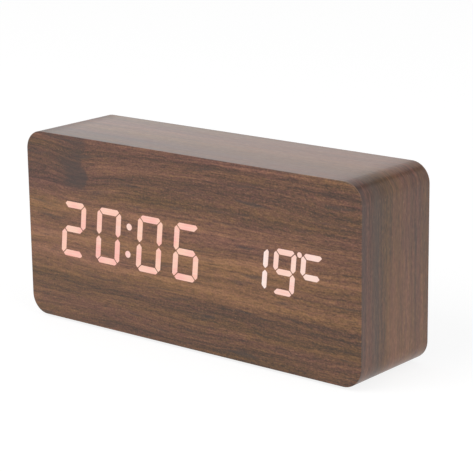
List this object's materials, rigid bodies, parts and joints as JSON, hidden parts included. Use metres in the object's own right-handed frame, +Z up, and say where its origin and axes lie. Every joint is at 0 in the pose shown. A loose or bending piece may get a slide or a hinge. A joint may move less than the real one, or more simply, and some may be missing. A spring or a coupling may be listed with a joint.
{
  "type": "digital clock",
  "caption": "Wood-veneered block clock whose lit time and temperature digits shine through the unbroken front veneer, with buttons, a power socket and a battery door behind.",
  "frame": {"origin": "on the surface that the foot pads stand on, under the middle of the case", "axes": "+X to the viewer's right along the clock's length, the display faces -Y, +Z up"},
  "size_m": [0.15, 0.039, 0.07],
  "materials": {
    "walnut_veneer": "open-grained walnut veneer with a thin satin lacquer",
    "core_board": "raw pressed-fibre board",
    "white_film": "milky diffusing film",
    "black_plastic": "fine moulded texture",
    "clear_resin": "cast resin, slightly milky",
    "circuit_board": "green solder mask",
    "led_body": "pale yellow lamp body",
    "screw_steel": "dark zinc-plated steel",
    "chip_plastic": "moulded black package",
    "header_nylon": "natural nylon",
    "ribbon_grey": "grey ribbon insulation",
    "crystal_can": "drawn can",
    "capacitor_sleeve": "dark shrink sleeve",
    "rubber": "matt anti-slip pad",
    "button_rubber": "satin button cap",
    "socket_steel": "bright plated steel",
    "cell_jacket": "plain printed-metal jacket with no markings",
    "contact_steel": "nickel-plated spring steel",
    "red_lead": "insulated wire",
    "black_lead": "insulated wire"
  },
  "bodies": {
    "case": {"casing_core": "core_board", "wrap_veneer": "walnut_veneer", "front_veneer": "walnut_veneer", "rear_veneer": "walnut_veneer", "front_board": "core_board", "corner_blocks": "core_board", "foot_pads": "rubber", "diffuser_film": "white_film", "light_mask": "black_plastic", "time_segments": "clear_resin", "temperature_segments": "clear_resin", "display_board": "circuit_board", "segment_leds": "led_body", "display_screws": "screw_steel", "driver_chip": "chip_plastic", "display_header": "header_nylon", "control_header": "header_nylon", "ribbon_cable": "ribbon_grey", "control_board": "circuit_board", "control_board_screws": "screw_steel", "controller_chip": "chip_plastic", "clock_crystal": "crystal_can", "capacitor": "capacitor_sleeve", "buzzer": "chip_plastic", "microphone": "crystal_can", "temperature_sensor": "chip_plastic", "power_socket_shell": "socket_steel", "power_socket_tongue": "chip_plastic", "switch_bodies": "chip_plastic", "rear_cover": "black_plastic", "cover_screws": "screw_steel", "battery_cells": "cell_jacket", "battery_contacts": "contact_steel", "battery_springs": "contact_steel", "negative_lead": "black_lead", "positive_lead": "red_lead"},
    "set_button": {"set_button": "button_rubber", "set_switch_plunger": "black_plastic"},
    "up_button": {"up_button": "button_rubber", "up_switch_plunger": "black_plastic"},
    "down_button": {"down_button": "button_rubber", "down_switch_plunger": "black_plastic"},
    "battery_door": {"battery_door": "black_plastic"}
  },
  "joints": [
    {"name": "set_press", "type": "slide", "parent": "case", "child": "set_button", "axis": [0, -1, 0], "range_m": [0, 0.0005], "stiffness_N_per_m": 1600, "springref_m": -0.0004},
    {"name": "up_press", "type": "slide", "parent": "case", "child": "up_button", "axis": [0, -1, 0], "range_m": [0, 0.0005], "stiffness_N_per_m": 1600, "springref_m": -0.0004},
    {"name": "down_press", "type": "slide", "parent": "case", "child": "down_button", "axis": [0, -1, 0], "range_m": [0, 0.0005], "stiffness_N_per_m": 1600, "springref_m": -0.0004},
    {"name": "battery_door_swing", "type": "hinge", "parent": "case", "child": "battery_door", "pos_m": [0.0311, 0.0172, 0.0176], "axis": [-1, 0, 0], "range_deg": [0, 75]}
  ]
}
